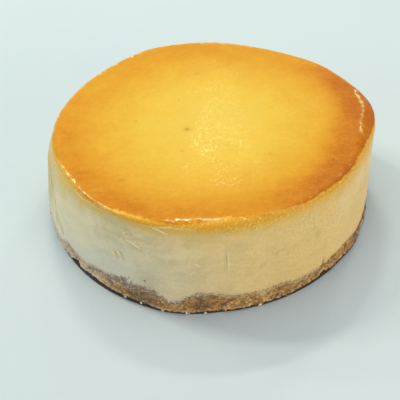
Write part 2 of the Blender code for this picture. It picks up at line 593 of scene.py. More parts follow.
def top_shares():
    """Rings of the top from its edge inwards. The nearer the middle, the fewer the columns."""
    spacing = TOP_SPACING / RIM_RADIUS
    close = 1 - np.arange(1, 11) * CREASE_SPACING / RIM_RADIUS
    outer = np.arange(close[-1] - spacing, 0.82, -spacing)
    middle = np.arange(outer[-1] - spacing, 0.30, -spacing)
    inner = np.arange(middle[-1] - spacing, 0.14, -spacing)
    core = np.arange(inner[-1] - spacing, 0.012, -spacing)
    return (1, close), (1, outer), (2, middle), (4, inner), (8, core)


def furrow_relief(azimuth, height):
    """Spatula furrows in the side, in metres."""
    along = np.radians(azimuth) * FOOT_RADIUS
    relief = np.zeros(np.broadcast(azimuth, height).shape)
    for start, end, half_width, proud in FURROWS:
        first = np.array([math.radians(start[0]) * FOOT_RADIUS, start[1]])
        run = np.array([math.radians(end[0]) * FOOT_RADIUS, end[1]]) - first
        share = ((along - first[0]) * run[0] + (height - first[1]) * run[1]) / (run @ run)
        share = np.clip(share, 0, 1)
        across = along - first[0] - share * run[0]
        up = height - first[1] - share * run[1]
        relief += proud * np.exp(-(across**2 + up**2) / half_width**2)
    return relief


def pit_depth(points):
    """0 to 1 in the pits of the top, most at their middles."""
    depth = np.zeros(points.shape[:-1])
    for azimuth, distance, radius in PITS:
        middle = points_at(azimuth, distance, 0)
        away = np.hypot(points[..., 0] - middle[0], points[..., 1] - middle[1])
        depth += np.exp(-((away / radius) ** 2))
    return depth


def creases(azimuth, from_edge, half_width):
    """How high the creases raise the skin, in metres, at distances in metres from its lower edge."""
    raised = np.zeros(np.broadcast(azimuth, from_edge).shape)
    for height, *places in CREASES:
        angles, ways = zip(*places)
        turned_azimuth = (azimuth - angles[0]) % 360 + angles[0]
        ends = step(turned_azimuth, angles[0], angles[0] + 5)
        ends = ends * (1 - step(turned_azimuth, angles[-1] - 5, angles[-1]))
        away = from_edge - np.interp(turned_azimuth, angles, ways)
        raised += height * ends * np.exp(-((away / half_width) ** 2))
    return raised


def places_on_side(azimuth, height, places):
    """0 to 1 in the given places of the side."""
    spots = np.zeros(np.broadcast(azimuth, height).shape)
    for middle, level, radius, amount in places:
        across = np.radians((azimuth - middle + 180) % 360 - 180) * FOOT_RADIUS
        spots += amount * np.exp(-(across**2 + (height - level) ** 2) / radius**2)
    return spots


def browning(azimuth, share):
    """How far the top is browned, from 0 in the middle to 1."""
    even = np.interp(share, (0, 0.2, 0.4, 0.55, 0.7, 0.8, 0.9), (0, 0.12, 0.25, 0.38, 0.51, 0.60, 0.61))
    return even + humps(azimuth, RIM_BROWNING) * step(share, 0.74, 0.95)


def make_filling(sizes):
    """The filling's whole surface, with what its finish needs at every point."""
    azimuth = np.linspace(0, 360, COLUMNS, endpoint=False)
    radius, height, strides, wall_end = filling_rings(azimuth)
    points = points_at(azimuth, radius, height)
    normals = outward(points)

    path = np.cumsum(np.hypot(np.diff(radius, axis=0), np.diff(height, axis=0)), axis=0)
    path = np.vstack([np.zeros_like(path[:1]), path])
    wobble = 0.5 * MM * field(points_at(azimuth, RIM_RADIUS, 0), 7 * MM, 2, seed=3)
    above_edge = path - path[wall_end] + wobble - humps(azimuth, EDGE_CLIMBS)
    above_joint = height - joint_height(azimuth)
    on_skin = step(above_edge, -0.15 * MM, 0.25 * MM)
    on_wall = (1 - step(above_edge, -1.5 * MM, 0)) * step(above_joint, 0, 2 * MM)
    share = radius / edge_radius(azimuth)
    on_top = step(above_edge, 1 * MM, 3 * MM)

    smears = field(points, (30 * MM, 30 * MM, 11 * MM), 3, seed=5)
    ripples = field(points, (6 * MM, 6 * MM, 3.4 * MM), 2, seed=8)
    relief = sizes.smear_depth * (smears + 0.3 * ripples) * on_wall
    relief += furrow_relief(azimuth, height) * (1 - on_skin)
    lip = sizes.skin_lip * np.exp(-np.maximum(above_edge, 0) / (1.6 * MM))
    beads = field(points, 3 * MM, 2, seed=11) + 0.6 * field(points, 9 * MM, 1, seed=12)
    relief += lip * (0.2 + 1.6 * beads) * on_skin * (0.3 + 0.7 * np.clip(humps(azimuth, RUNS), 0, 1))
    swell = field(points * (1, 1, 0), 22 * MM, 2, seed=14)
    puckers = field(points, 3.4 * MM, 2, seed=17) * (1 - step(above_edge, 5 * MM, 10 * MM))
    relief += sizes.skin_relief * (swell * on_top + 0.4 * puckers * on_skin)
    waver = 0.5 * MM * field(points_at(azimuth, RIM_RADIUS, 0), 4 * MM, 2, seed=18)
    from_rim = path - path[wall_end] + waver
    broken = np.clip(0.7 + 1.1 * field(points, 3.2 * MM, 2, seed=19), 0.1, 1.4)
    relief += creases(azimuth, from_rim, sizes.crease_width) * broken
    pits = pit_depth(points) * step(height, 0.045, 0.05) * on_top
    relief -= 0.12 * MM * pits

    skin = browning(azimuth, share)
    skin = np.where(share > 1, browning(azimuth, 1.0), skin) + 0.10 * pits
    skin += 0.05 * step(above_edge, 9 * MM, 2 * MM) * hump(azimuth, 5, 55) * on_skin
    reach = humps(azimuth, AMBER_POOLS) + 0.2 * MM
    pool = (1.4 - above_edge / reach) * on_skin
    stain = np.exp(above_edge / (2.0 * MM + humps(azimuth, STAIN_DEPTHS))) * (1 - on_skin)
    attributes = {
        "above_edge": above_edge / MM,
        "above_joint": above_joint / MM,
        "browning": np.clip(skin, 0, 1.1),
        "amber": np.clip(pool, 0, 1),
        "stain": np.clip(stain, 0, 1),
        "warmth": humps(azimuth, PAINTED_WARM_LIGHT_SIDES) + 0 * height,
        "spots": places_on_side(azimuth, height, SPOTS),
        "pale": places_on_side(azimuth, height, PALE_PLACES),
        "shady": places_on_side(azimuth, height, SHADY_PLACES),
        "grainy": humps(azimuth, GRAINY_SIDES) * step(height, 0.022, 0.036),
        "hem": humps(azimuth, HEMS) + 0 * height,
        # Painted shade in the spatula furrows, darker the deeper they are.
        "furrow": np.clip(-furrow_relief(azimuth, height) / (0.4 * MM), 0, 1) * (1 - on_skin),
        "frayed": humps(azimuth, FRAYED) / MM + 0 * height,
        "pits": pits,
        "runs": np.clip(humps(azimuth, RUNS), 0, 1) + 0 * height,
        "wet": np.minimum(1, creases(azimuth, from_rim, 1.1 * sizes.crease_width) / WET_HEIGHT) * broken,
        # Painted cool light, low on the left of the side.
        "coolness": hump(azimuth, 230, 58) * (1 - step(height, 0.020, 0.052)),
    }
    return closed_rings("cheese_filling_surface", points + normals * relief[..., None], strides, attributes)


# ---------------------------------------------------------------------------
# The crumb base
# ---------------------------------------------------------------------------


def base_face(azimuth, height, sizes):
    """Radius of the base's crumbly face, how proud it stands there in mm, and the crumb's kind."""
    radius = wall_radius(azimuth, height) - humps(azimuth, BASE_GROOVES) - 0.35 * MM
    radius += CRUMBLE * lumps(azimuth, height, CRUMBLE_SIZE)
    points = points_at(azimuth, radius, height)
    coarse, kind = grains(points, sizes.crumb_size, seed=2)
    fine, fine_kind = grains(points, 0.5 * sizes.crumb_size, seed=4)
    bites = field(points, 5 * MM, 3, seed=6)
    proud = 0.4 * coarse + 0.25 * kind + 0.35 * fine + 0.9 * bites
    return radius + sizes.crumb_depth * proud, proud, 0.6 * kind + 0.5 * fine_kind


def ragged_lip(azimuth):
    """The lower edge with its small bites."""
    points = points_at(azimuth, FOOT_RADIUS, 0)
    bites = 0.8 * MM * field(points, 2.4 * MM, 3, seed=31) + 0.5 * MM * field(points, 7 * MM, 2, seed=32)
    return np.maximum(lip_height(azimuth) + humps(azimuth, LIP_LIFTS) + bites, 0.3 * MM)


def frayed(azimuth):
    """How far the crumb frays up into the cream, from 0 to 1."""
    return humps(azimuth, FRAYED) / max(spread_up for _, _, spread_up in FRAYED)


def make_base(sizes):
    azimuth = np.linspace(0, 360, BASE_COLUMNS, endpoint=False)
    joint, lip = joint_height(azimuth), ragged_lip(azimuth)
    foot = foot_radius(azimuth) - GAP_DEPTH
    radii, heights, strides, proud, kinds = [], [], [], [], []

    def add(radius, height, stride=1, proud_by=0.0, kind=0.0):
        for rows, value in ((radii, radius), (heights, height), (proud, proud_by), (kinds, kind)):
            rows.append(np.broadcast_to(value, azimuth.shape))
        strides.append(stride)

    edge, edge_proud, edge_kind = base_face(azimuth, lip, sizes)
    for share, stride in ((0.2, 8), (0.6, 4), (0.9, 2), (1.0, 1)):
        add(foot * share, 0.0, stride)
    for share in (0.3, 0.6, 0.85):
        rough = 0.25 * MM * field(points_at(azimuth, foot, lip * share), 1.5 * MM, 2)
        add(foot + (edge - foot) * share**1.5, lip * share + rough * share, 1, -0.6)
    rows = spread(0, BASE_HEIGHT + COLLAR, FACE_SPACING)
    for share in np.concatenate([[0], rows]):
        height = lip + (joint + COLLAR - lip) * share
        radius, proud_by, kind = base_face(azimuth, height, sizes)
        spikes = field(points_at(azimuth, radius, height), (1.3 * MM, 1.3 * MM, 3.0 * MM), 2, seed=9)
        tuck = 1.6 * MM * step(height - joint + 2.0 * MM * spikes, -0.4 * MM, COLLAR)
        roll = 0.45 * MM * (1 - step(height - lip, 0, 0.5 * MM))
        flange = 0.5 * MM * step(height - lip, 0, 0.5 * MM) * (1 - step(height - lip, 0.7 * MM, 1.8 * MM))
        add(radius - tuck - roll + flange, height, 1, proud_by, kind)
    for share, stride in ((0.93, 2), (0.6, 4), (0.2, 8)):
        add(radii[-1] * share if stride == 2 else foot * share, BASE_HEIGHT - 0.5 * MM, stride)
    radius, height = np.array(radii), np.array(heights)
    attributes = {
        "above_joint": (height - joint) / MM,
        "above_lip": (height - lip) / MM,
        "proud": np.array(proud),
        "kind": np.array(kinds),
        "dark": humps(azimuth, DARK_CRUMB) + 0 * height,
        "grey": humps(azimuth, GREY_CRUMB) + 0 * height,
    }
    return closed_rings("crumb_base_surface", points_at(azimuth, radius, height), strides, attributes)


# ---------------------------------------------------------------------------
# Loose crumbs and beads of glaze
# ---------------------------------------------------------------------------


def unit_lumps(subdivisions, roughness, count, seed):
    """Several knobbly balls of radius 1, as (points, faces)."""
    ball = bmesh.new()
    bmesh.ops.create_icosphere(ball, subdivisions=subdivisions, radius=1)
    ball.verts.ensure_lookup_table()
    points = np.array([vertex.co[:] for vertex in ball.verts])
    faces = np.array([[vertex.index for vertex in face.verts] for face in ball.faces])
    ball.free()
    shapes = []
    for number in range(count):
        bumps = field(points, 0.9, 2, seed=seed + 5 * number)
        shapes.append((points * (1 + roughness * bumps)[:, None], faces))
    return shapes


def turned(random):
    """A random rotation, as a 3 x 3 array."""
    axes, _ = np.linalg.qr(random.normal(size=(3, 3)))
    return axes * np.sign(np.linalg.det(axes))


def joined(name, lumps_made):
    """One mesh of many separate lumps: (points, faces, {label: number})."""
    points = np.concatenate([lump[0] for lump in lumps_made])
    starts = np.cumsum([0] + [len(lump[0]) for lump in lumps_made])
    faces = np.concatenate([lump[1] + start for lump, start in zip(lumps_made, starts)])
    mesh = bpy.data.meshes.new(name)
    mesh.from_pydata(points.tolist(), [], faces.tolist())
    for label in lumps_made[0][2]:
        values = [np.full(len(lump[0]), lump[2][label]) for lump in lumps_made]
        add_attribute(mesh, label, np.concatenate(values))
    mesh.shade_smooth()
    return mesh


PALE_KIND = 2.5  # marks a crumb that is as pale as the lower edge


def make_crumbs(sizes):
    """Crumbs that have come half loose from the base, most of them along its two edges."""
    random = np.random.default_rng(7)
    shapes = unit_lumps(1, 0.7, 14, seed=40)
    made = []

    def add(azimuth, height, size, out, kind):
        height = max(height, 1.3 * size)
        radius = wall_radius(azimuth, height)
        if height < joint_height(azimuth):
            radius = min(base_face(azimuth, height, sizes)[0], radius)
        points, faces = shapes[random.integers(len(shapes))]
        stretch = size * random.uniform(0.6, 1.25, size=3)
        middle = points_at(azimuth, radius + out * size, height)
        labels = {"kind": kind, "dark": humps(azimuth, DARK_CRUMB), "grey": humps(azimuth, GREY_CRUMB)}
        made.append((points * stretch @ turned(random) + middle, faces, labels))

    for azimuth, size in FLAKES:
        place = np.array(azimuth)
        add(place, lip_height(place) - 0.2 * size, 0.8 * size, 0.1, PALE_KIND)
    for centre, half_width, up in FRAYED:
        for _ in range(6 * half_width):
            azimuth = np.array(centre + half_width * random.uniform(-1, 1))
            height = joint_height(azimuth) + abs(random.normal(0, up)) * hump(azimuth, centre, half_width)
            size = random.uniform(0.18, 0.40) * MM
            add(azimuth, height, size, -0.2, random.choice((-1.4, -0.8, PALE_KIND), p=(0.45, 0.25, 0.30)))
    for _ in range(sizes.loose_crumbs):
        azimuth = np.array(random.uniform(0, 360))
        joint, lip = joint_height(azimuth), lip_height(azimuth)
        share = random.choice((0.04, 0.5, 0.95), p=(0.46, 0.34, 0.20))
        height = lip + (joint - lip) * share + random.normal(0, 0.9 * MM)
        size = np.clip(random.lognormal(math.log(0.36), 0.4), 0.18, 0.95) * MM
        kind = PALE_KIND if random.uniform() < 0.12 else random.normal(-0.1, 0.6)
        add(azimuth, height, size, random.uniform(-0.35, 0.3), kind)
    return joined("loose_crumbs", made)


def ticks():
    """Short strokes scattered as TICKS says, given in the same way as the ridges."""
    random = np.random.default_rng(21)
    strokes = []
    for middle, half_width, level, spread_up, count in TICKS:
        for _ in range(count):
            azimuth = middle + half_width * random.uniform(-1, 1)
            height = level + spread_up * random.normal()
            run, climb = random.uniform(0.2, 0.9), random.uniform(-1.0, 1.0) * MM
            strokes.append(((azimuth, height), (azimuth + run, height + climb), 0.3 * MM, 0.3 * MM))
    return strokes


def make_ridges():
    """Raised ridges of cream on the side, each a ball drawn out along its path."""
    shapes = unit_lumps(2, 0.12, 6, seed=60)
    made = []
    for number, (start, end, half_width, height) in enumerate((*RIDGES, *ticks())):
        points, faces = shapes[number % len(shapes)]
        share = (points[:, 0] + 1) / 2
        azimuth = start[0] + (end[0] - start[0]) * share
        level = start[1] + (end[1] - start[1]) * share
        middle = points_at(azimuth, wall_radius(azimuth, level), level)
        run = middle[share.argmax()] - middle[share.argmin()]
        out = points_at(azimuth, 1.0, 0)
        side = np.cross(out, run / np.linalg.norm(run))
        wander = 0.9 * half_width * field(middle, 2.5 * MM, 2, seed=61)
        across = half_width * points[:, 1] + wander
        place = middle + side * across[:, None] + out * (1.1 * height * points[:, 2])[:, None]
        made.append((place, faces, {"warmth": humps(start[0], PAINTED_WARM_LIGHT_SIDES)}))
    return joined("cream_ridges", made)


def side_radius(azimuth, height):
    """Radius of the cake's outside at a height on its wall or on the shoulder above."""
    rim = rim_height(azimuth)
    if height <= rim:
        return wall_radius(azimuth, height)
    inner = edge_radius(azimuth)
    up = min((height - rim) / (top_height(azimuth, inner) - rim), 1)
    return inner + (rim_radius(azimuth) - inner) * math.sqrt(1 - up * up)


def make_beads(sizes):
    """Beads and lumps of set glaze along the lower edge of the skin."""
    random = np.random.default_rng(11)
    shapes = unit_lumps(2, 0.3, 8, seed=90)
    made = []

    def add(azimuth, rise, size, kind):
        rim = rim_height(np.array(azimuth))
        top = top_height(azimuth, edge_radius(azimuth))
        height = min(rim + rise, top - 0.2 * size)
        points, faces = shapes[random.integers(len(shapes))]
        stretch = size * np.array([random.uniform(0.8, 1.8), 0.6, random.uniform(0.6, 1.0)])
        angle = math.radians(azimuth - 270)
        level = np.array([
            [math.cos(angle), math.sin(angle), 0],
            [-math.sin(angle), math.cos(angle), 0],
            [0, 0, 1],
        ])
        middle = points_at(azimuth, side_radius(azimuth, height) - 0.5 * size, height)
        made.append((points * stretch @ level + middle, faces, {"kind": kind}))

    for azimuth, rise, size in GLAZE_LUMPS:
        add(azimuth, rise, size, 1.2)
    for centre, half_width, count in BEADS:
        for _ in range(count):
            azimuth = centre + half_width * random.uniform(-1, 1)
            size = np.clip(random.lognormal(math.log(0.34), 0.35), 0.2, 0.8) * sizes.bead_size
            rise = humps(azimuth, EDGE_CLIMBS) + random.normal(0, 1.3) * MM
            add(azimuth, rise, size, random.normal(0, 0.6))
    return joined("glaze_beads", made)


# ---------------------------------------------------------------------------
# Finishes
# ---------------------------------------------------------------------------


class Value:
    """A socket's number, vector or colour. Arithmetic on it adds Math nodes to its finish."""

    def __init__(self, finish, socket):
        self.finish = finish
        self.socket = socket

    def maths(self, operation, first, second):
        return self.finish.node("ShaderNodeMath", {"operation": operation}, {0: first, 1: second})

    def __add__(self, other):
        return self.maths("ADD", self, other)

    def __sub__(self, other):
        return self.maths("SUBTRACT", self, other)

    def __rsub__(self, other):
        return self.maths("SUBTRACT", other, self)

    def __mul__(self, other):
        return self.maths("MULTIPLY", self, other)

    __radd__ = __add__
    __rmul__ = __mul__


class Finish:
    """A material built node by node."""

    def __init__(self, name):
        self.material = bpy.data.materials.new(name)
        self.material.use_nodes = True
        self.tree = self.material.node_tree
        self.tree.nodes.clear()
        self.place = self.node("ShaderNodeTexCoord", {}, {}, "Object")

    def node(self, kind, settings, inputs, output=0):
        """Adds a node, sets its settings and then its sockets, and returns one of its outputs."""
        made = self.tree.nodes.new(kind)
        for name, value in settings.items():
            if name == "stops":
                self.set_stops(made.color_ramp, value)
            else:
                setattr(made, name, value)
        for key, value in inputs.items():
            socket = self.find(made.inputs, key)
            if isinstance(value, Value):
                self.tree.links.new(value.socket, socket)
            elif socket.type == "RGBA":
                socket.default_value = (*value, 1)
            else:
                socket.default_value = value
        return Value(self, self.find(made.outputs, output)) if made.outputs else None

    def find(self, sockets, key):
        if isinstance(key, int):
            return sockets[key]
        exact = [socket for socket in sockets if socket.identifier == key]
        return exact[0] if exact else sockets[key]

    def set_stops(self, ramp, stops):
        while len(ramp.elements) < len(stops):
            ramp.elements.new(0.5)
        for element, (position, colour) in zip(ramp.elements, stops):
            element.position = position
            element.color = (*colour, 1)

    def attribute(self, label):
        return self.node("ShaderNodeAttribute", {"attribute_name": label}, {}, "Fac")

    def noise(self, size, detail=2, distortion=0.0, shift=0.0):
        """Smooth noise around 0, with lumps of the given size, or sizes along X, Y and Z."""
        scale = tuple(1 / length for length in (size if isinstance(size, tuple) else (size,) * 3))
        settings = {"operation": "MULTIPLY_ADD"}
        where = self.node("ShaderNodeVectorMath", settings, {0: self.place, 1: scale, 2: (shift,) * 3})
        inputs = {"Vector": where, "Scale": 1.0, "Detail": detail, "Distortion": distortion}
        return self.node("ShaderNodeTexNoise", {}, inputs) * 2 - 1

    def cells(self, size, feature="F1", output="Distance"):
        scale = {"Vector": self.place, "Scale": 1 / size}
        return self.node("ShaderNodeTexVoronoi", {"feature": feature}, scale, output)

    def rise(self, value, low, high, top=1.0):
        """0 up to low and top from high on, with a smooth rise between."""
        inputs = {"Value": value, "From Min": low, "From Max": high, "To Max": top}
        return self.node("ShaderNodeMapRange", {"interpolation_type": "SMOOTHSTEP"}, inputs)

    def mix(self, share, first, second, blend="MIX"):
        settings = {"data_type": "RGBA", "blend_type": blend}
        inputs = {"Factor_Float": share, "A_Color": first, "B_Color": second}
        return self.node("ShaderNodeMix", settings, inputs, "Result_Color")

    def ramp(self, value, stops):
        return self.node("ShaderNodeValToRGB", {"stops": stops}, {"Fac": value})

    def bump(self, height, strength=1.0, distance=1.0):
        """A Normal from a height in millimetres."""
        inputs = {"Strength": strength, "Distance": distance * MM, "Height": height}
        return self.node("ShaderNodeBump", {}, inputs)

    def surface(self, inputs):
        shader = self.node("ShaderNodeBsdfPrincipled", {}, inputs)
        self.node("ShaderNodeOutputMaterial", {}, {"Surface": shader})
        return self.material


def cheese_finish(skin, filling):
    """Cream that shades through amber into the browned, glossy skin above its ragged edge."""
    f = Finish("baked_cheese")
    ragged = 0.6 * f.noise(1.3 * MM, 3) + (0.4 + f.attribute("runs")) * f.noise(5 * MM, 3, 0.5, shift=4.0)
    above_edge = f.attribute("above_edge") + ragged
    on_skin = f.rise(above_edge, -0.3, 0.5)

    blotches = f.noise(15 * MM, 4, 0.5, shift=1.0)
    streaks = f.noise((12 * MM, 3.5 * MM, 12 * MM), 4, 1.2, shift=2.0)
    mottle = f.noise(3.2 * MM, 3, shift=21.0)
    specks = f.noise(0.9 * MM, 2, shift=3.0)
    browned = f.attribute("browning") + 0.12 * blotches + 0.05 * streaks + 0.08 * mottle + 0.08 * specks
    skin_colour = f.ramp(browned, (
        (0.0, skin.pale),
        (0.27, skin.straw),
        (0.50, skin.golden),
        (0.74, skin.toasted),
        (0.88, skin.brown),
        (1.0, skin.dark),
    ))
    granules = f.noise(1.2 * MM, 2, shift=27.0)
    grained = 0.4 + 0.6 * f.attribute("runs")
    amber = f.mix(f.rise(granules, 0.0, 0.35, 0.85) * grained, skin.amber, skin.clear)
    amber = f.mix(f.rise(granules, -0.1, -0.5, 0.3), amber, skin.golden)
    pooled = f.attribute("amber") + 0.5 * f.noise(3 * MM, 3, shift=6.0)
    skin_colour = f.mix(f.rise(pooled, 0.3, 0.7, 0.9), skin_colour, amber)
    skin_colour = f.mix(f.rise(f.attribute("wet") + 0.6 * specks, 0.3, 1.1, 0.45), skin_colour, skin.clear)
    skin_colour = f.mix(0.6 * f.attribute("pits"), skin_colour, skin.pit)
    bubbles = f.rise(f.noise(1.3 * MM, 2, shift=24.0), 0.15, 0.45)
    skin_colour = f.mix(0.16 * bubbles, skin_colour, skin.pale)

    smears = f.noise((20 * MM, 20 * MM, 9 * MM), 5, 0.9, shift=5.0)
    clouds = f.noise(11 * MM, 5, 0.6, shift=7.0)
    side = f.mix(f.rise(smears + 0.9 * clouds, -0.5, 0.5), filling.smear_dark, filling.smear_light)
    side = f.mix(0.35, side, filling.cream)
    # Painted cool light: the cream is greyer and bluer low on the left.
    side = f.mix(0.9 * f.attribute("coolness"), side, filling.cool)
    # Painted warm light: the cream is tinted yellower on the right.
    warm = f.attribute("warmth") + 0.35 * clouds
    side = f.mix(f.rise(warm, 0.0, 1.0, 0.8), side, filling.warm)
    flecks = f.rise(f.noise((1.6 * MM, 1.6 * MM, 1.1 * MM), 2, shift=8.0), 0.25, 0.5, 0.30)
    side = f.mix(flecks, side, filling.smear_light)
    hollows = f.rise(f.noise((2.2 * MM, 2.2 * MM, 1.4 * MM), 2, shift=28.0), 0.2, 0.5, 0.25)
    side = f.mix(hollows, side, filling.smear_dark)
    scratches = f.rise(f.noise((7 * MM, 7 * MM, 0.9 * MM), 2, 0.3, shift=22.0), 0.2, 0.5, 0.4)
    side = f.mix(scratches, side, filling.smear_light)
    grit = f.noise(1.0 * MM, 2, shift=29.0)
    side = f.mix(f.rise(f.attribute("pale") + 0.5 * clouds, 0.1, 1.0, 0.7), side, filling.smear_light)
    side = f.mix(f.rise(f.attribute("shady") + 0.5 * clouds, 0.1, 1.0, 0.65), side, filling.shade)
    grainy = 0.35 + 0.4 * f.attribute("grainy")
    side = f.mix(f.rise(grit, 0.05, 0.35, 0.7) * grainy, side, filling.grain)
    side = f.mix(f.rise(grit, -0.05, -0.4, 0.5) * grainy, side, filling.shade)
    # Painted shade: the furrows are darkened with the shade colour.
    side = f.mix(0.3 * f.attribute("furrow"), side, filling.shade)
    side = f.mix(f.rise(f.attribute("spots") + 0.3 * clouds, 0.1, 0.9, 0.6), side, filling.spot)
    soaked = f.attribute("stain") * (1 + 0.8 * clouds + 0.5 * f.noise(2.5 * MM, 3, shift=9.0))
    side = f.mix(f.rise(soaked, 0.03, 0.9, 0.85), side, filling.stain)
    spiky = f.noise((1.8 * MM, 1.8 * MM, 3.2 * MM), 4, shift=10.0)
    frayed_by = f.attribute("frayed")
    near_base = f.attribute("above_joint") - 0.8 * frayed_by + (2.0 + 0.4 * frayed_by) * spiky
    crumbs = f.noise(1.2 * MM, 3, 0.4, shift=31.0)
    crumbed = f.mix(f.rise(crumbs + 0.4 * spiky, -0.15, 0.35), filling.crumbed, filling.smudged)
    dirty = f.rise(near_base, 2.6, -1.2, 0.92) * f.rise(frayed_by, -1.2, 2.4)
    side = f.mix(dirty, side, crumbed)

    fringe = f.attribute("above_edge") + 2.4 * f.noise((2.2 * MM, 2.2 * MM, 4 * MM), 3, 0.6, shift=25.0)
    side = f.mix(f.rise(fringe + 1.6 * granules, -3.4, -0.2, 0.75) * f.attribute("runs"), side, amber)
    colour = f.mix(on_skin, side, skin_colour)
    seam = f.rise(above_edge, -0.9, -0.1) * (1 - f.rise(above_edge, 0.0, 0.5))
    patchy = f.rise(f.noise(1.6 * MM, 2, shift=12.0), -0.2, 0.4)
    colour = f.mix(0.12 * seam * patchy * f.attribute("warmth"), colour, skin.seam)
    colour = f.mix(0.9 * seam * f.attribute("hem"), colour, skin.hem)

    peel = f.noise(1.1 * MM, 3, shift=13.0)
    wrinkles = f.noise((9 * MM, 1.6 * MM, 9 * MM), 2, 0.6, shift=15.0)
    skin_height = 0.05 * peel + 0.13 * f.noise(2.0 * MM, 2, shift=14.0) + 0.05 * wrinkles
    side_height = 0.22 * f.noise((8 * MM, 8 * MM, 2.4 * MM), 4, 0.5, shift=16.0)
    side_height = side_height + 0.10 * f.noise(1.7 * MM, 3, shift=18.0)
    height = side_height * (1 - on_skin) + skin_height * on_skin
    dull = filling.roughness + 0.12 * clouds
    wet = f.attribute("wet") * f.rise(f.noise(2.0 * MM, 2, shift=26.0), -0.12, -0.03)
    speckle = f.rise(f.noise(0.9 * MM, 1, shift=30.0), 0.08, 0.24) * f.rise(blotches + mottle, -0.7, 0.2)
    speckle = speckle * f.rise(browned, 0.66, 0.5)
    gloss = skin.roughness + 0.08 * blotches - 0.2 * wet
    return f.surface({
        "Base Color": colour,
        "Roughness": dull * (1 - on_skin) + gloss * on_skin,
        "Coat Weight": on_skin * (skin.speckle * speckle + wet),
        "Coat Roughness": 0.16,
        "Coat IOR": 1.9,
        "Specular IOR Level": 0.12,
        "Subsurface Weight": filling.translucency,
        "Subsurface Radius": (1.0, 0.6, 0.25),
        "Subsurface Scale": 0.003,
        "IOR": 1.42,
        "Normal": f.bump(height),
    })


def ridge_finish(filling):
    """Fresh cream, painted paler than the side around it, partly as a painted highlight on the crests, and
    yellower on the right with painted warm light; glossier than the side.
    """
    f = Finish("cream_ridge_painted_highlight")
    clouds = f.noise(3 * MM, 3)
    colour = f.mix(f.rise(f.attribute("warmth") + 0.3 * clouds, 0.0, 0.9, 0.7), filling.ridge_and_painted_highlight, filling.warm)
    return f.surface({
        "Base Color": colour,
        "Roughness": 0.5 + 0.1 * clouds,
        "Specular IOR Level": 0.25,
        "Subsurface Weight": filling.translucency,
        "Subsurface Radius": (1.0, 0.6, 0.25),
        "Subsurface Scale": 0.002,
        "IOR": 1.42,
        "Normal": f.bump(0.04 * f.noise(0.8 * MM, 2, shift=3.0)),
    })


def biscuit_finish(base, name="biscuit_crumb"):
    """Pressed biscuit crumb: a grain of its own shade for every crumb, with painted shade in the creases.
    """
    f = Finish(name)
    grain = 0.7 * f.noise(1.0 * MM, 3) + 0.5 * f.noise(0.45 * MM, 2, shift=2.0)
    zones = f.noise((9 * MM, 9 * MM, 4 * MM), 3, 0.5, shift=3.0)
    kind = 0.6 * f.attribute("kind") + grain
    colour = f.ramp(0.5 + 0.58 * kind + 0.32 * zones, (
        (0.05, base.burnt_and_crease_shade),
        (0.32, base.brown),
        (0.58, base.biscuit),
        (0.90, base.pale),
    ))
    dark = f.rise(f.attribute("dark") + 0.7 * zones + 0.45 * grain, 0.15, 1.0, 0.85)
    colour = f.mix(dark, colour, base.dark)
    grey = f.rise(f.attribute("grey") + 0.4 * zones + 0.3 * grain, 0.1, 1.0, 0.75)
    colour = f.mix(grey, colour, base.grey)
    if name == "biscuit_crumb":
        # Painted shade in the creases between crumbs, darker the lower a place lies.
        creases = f.rise(f.attribute("proud"), 0.1, -0.9, 0.65)
        colour = f.mix(creases, colour, base.burnt_and_crease_shade)
        smeared = f.attribute("above_joint") + 3.0 * zones + 2.2 * f.noise(1.4 * MM, 3, shift=5.0)
        smeared = f.rise(smeared, -3.0, 0.6, 0.75) * (1 - 0.7 * dark)
        colour = f.mix(smeared, colour, base.smeared)
        edge = f.attribute("above_lip") + 0.9 * f.noise((3 * MM, 3 * MM, 1 * MM), 3, shift=6.0)
        broken = f.rise(f.noise(2.2 * MM, 3, shift=12.0) + 0.5 * f.attribute("grey"), -0.2, 0.5, 0.8)
        colour = f.mix(f.rise(edge, 1.9, 0.9) * broken, colour, base.lip)
        # Painted shadow: the shallow recess under the lower edge is coloured near black, as a deep shaded
        # hollow would look.
        colour = f.mix(f.rise(f.attribute("above_lip"), 0.15, -0.15), colour, base.gap)
    else:
        colour = f.mix(f.rise(f.attribute("kind"), 2.0, 2.2, 0.8), colour, base.fleck)
    height = 0.16 * f.noise(0.6 * MM, 4, shift=7.0)
    return f.surface({
        "Base Color": colour,
        "Roughness": 0.62 + 0.2 * f.noise(1.5 * MM, 2, shift=9.0),
        "Coat Weight": f.rise(f.noise(1.2 * MM, 2, shift=11.0), 0.15, 0.5, 0.4),
        "Coat Roughness": 0.22,
        "Subsurface Weight": 0.06,
        "Subsurface Radius": (1.0, 0.6, 0.3),
        "Subsurface Scale": 0.001,
        "IOR": 1.45,
        "Normal": f.bump(height),
    })


def glaze_finish(skin):
    """Set amber glaze, clear enough to glow a little."""
    f = Finish("amber_glaze")
    shade = f.attribute("kind") + f.noise(2 * MM, 2)
    colour = f.mix(f.rise(shade, -0.8, 0.8), skin.golden, skin.amber)
    colour = f.mix(f.rise(shade, 0.4, 1.0, 0.8), colour, skin.clear)
    return f.surface({
        "Base Color": colour,
        "Roughness": 0.38 + 0.1 * f.noise(1.5 * MM, 2, shift=3.0),
        "Specular IOR Level": 0.2,
        "Coat Weight": 0.1,
        "Coat Roughness": 0.1,
        "Subsurface Weight": 0.1,
        "Subsurface Radius": (1.0, 0.6, 0.2),
        "Subsurface Scale": 0.001,
        "IOR": 1.45,
        "Normal": f.bump(0.04 * f.noise(0.8 * MM, 2)),
    })


